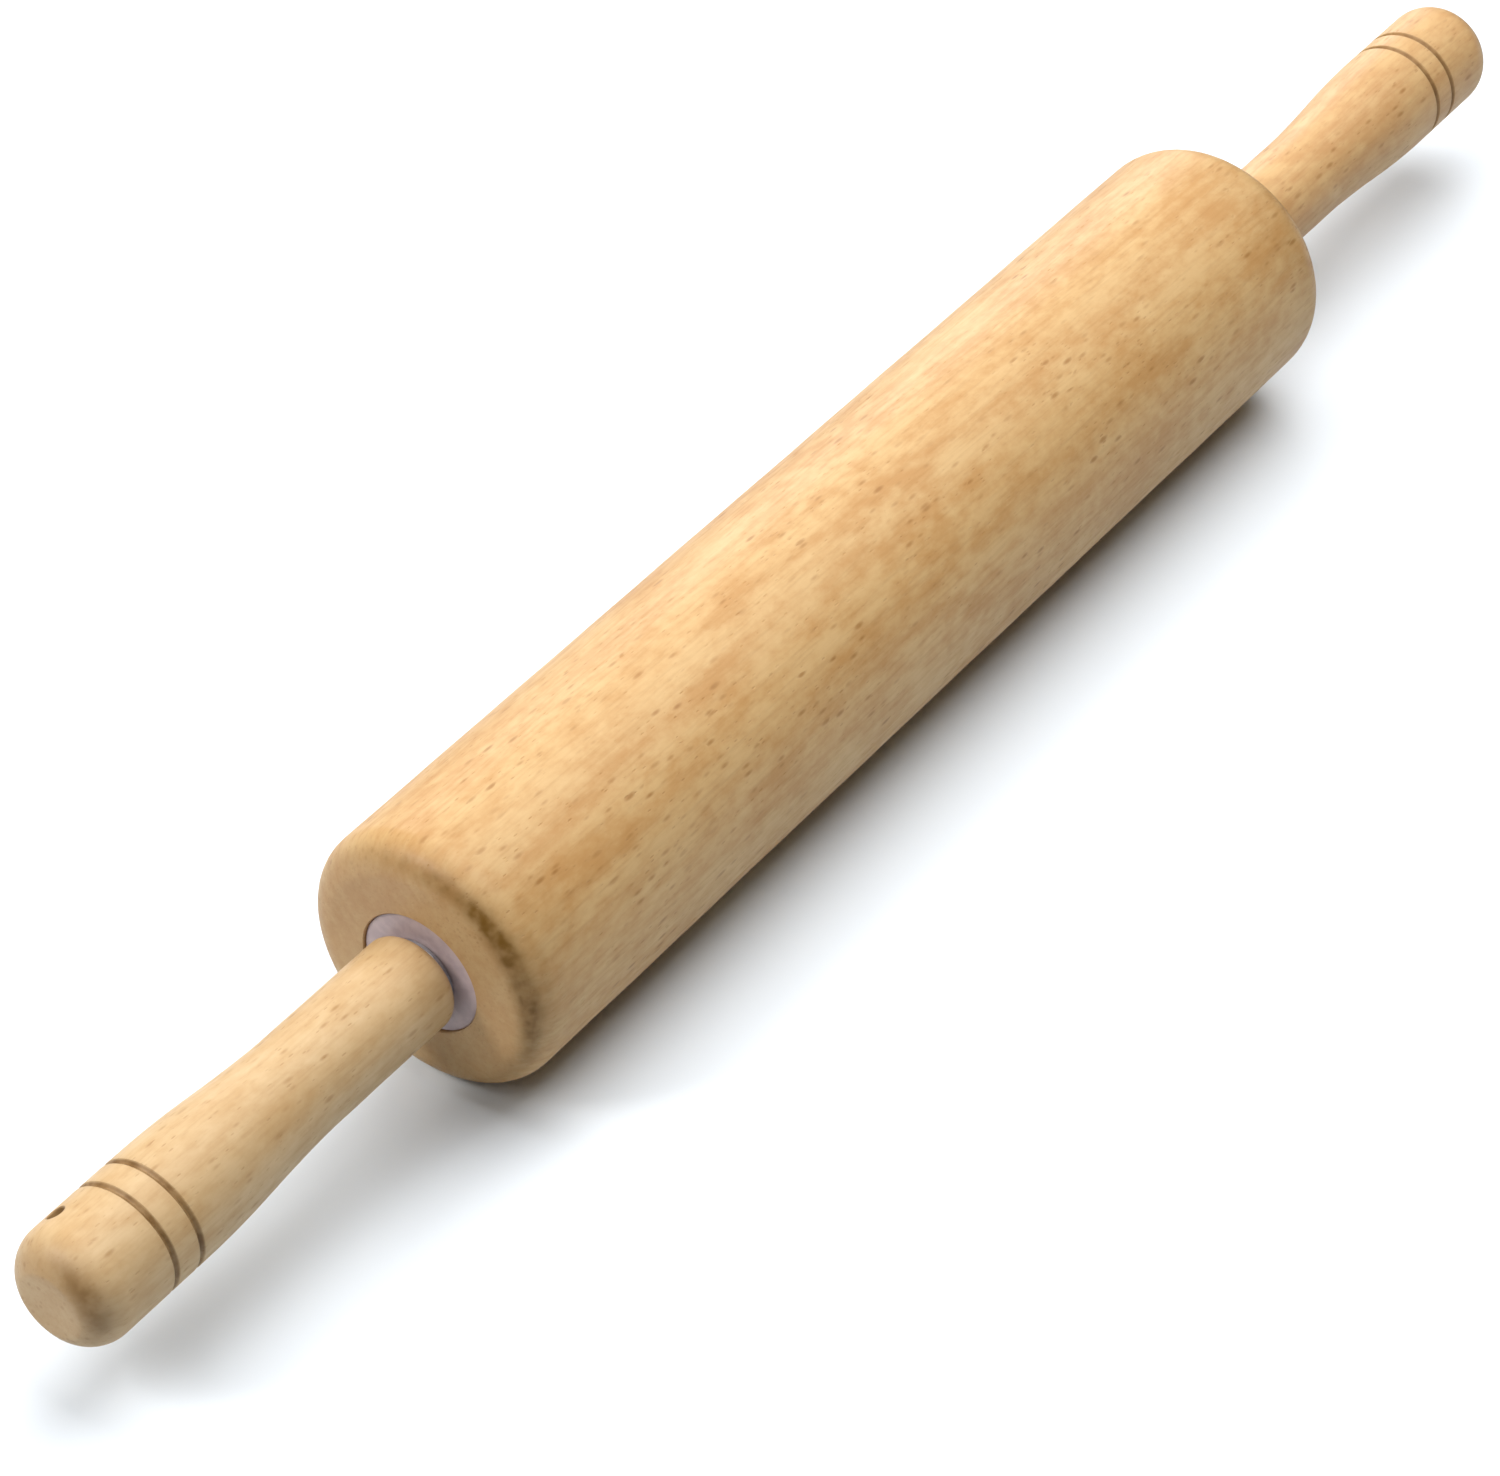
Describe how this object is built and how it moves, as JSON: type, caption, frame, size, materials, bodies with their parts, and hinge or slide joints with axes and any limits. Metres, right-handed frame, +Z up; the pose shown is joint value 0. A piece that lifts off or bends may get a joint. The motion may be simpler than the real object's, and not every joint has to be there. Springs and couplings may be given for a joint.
{
  "type": "rolling pin",
  "caption": "Wooden rolling pin with a barrel that revolves on a steel rod between two turned handles with scorched grooves and a hanging hole.",
  "frame": {"origin": "on the table surface, straight under the middle of the barrel", "axes": "+X along the pin from the handle with the hanging hole to the other handle, +Z up, +Y across the pin"},
  "size_m": [0.4384, 0.051, 0.051],
  "materials": {
    "barrel_wood": "pale hardwood with fine short pores, satin oil finish",
    "handle_wood": "pale hardwood, satin, with two dark scorched grooves round the knob",
    "bush_nylon": "smooth lilac-grey nylon",
    "rod_steel": "drawn steel rod",
    "washer_steel": "zinc-plated steel",
    "insert_brass": "turned brass"
  },
  "bodies": {
    "handles": {"axle_rod": "rod_steel", "left_insert": "insert_brass", "right_insert": "insert_brass", "left_handle": "handle_wood", "right_handle": "handle_wood"},
    "barrel": {"barrel": "barrel_wood", "left_bush": "bush_nylon", "right_bush": "bush_nylon"},
    "left_washer": {"left_washer": "washer_steel"},
    "right_washer": {"right_washer": "washer_steel"}
  },
  "joints": [
    {"name": "barrel_spin", "type": "hinge", "parent": "handles", "child": "barrel", "pos_m": [0, 0, 0.0255], "axis": [1, 0, 0], "continuous": true},
    {"name": "left_washer_spin", "type": "hinge", "parent": "handles", "child": "left_washer", "pos_m": [-0.1271, 0, 0.0255], "axis": [1, 0, 0], "continuous": true},
    {"name": "right_washer_spin", "type": "hinge", "parent": "handles", "child": "right_washer", "pos_m": [0.1271, 0, 0.0255], "axis": [1, 0, 0], "continuous": true}
  ]
}
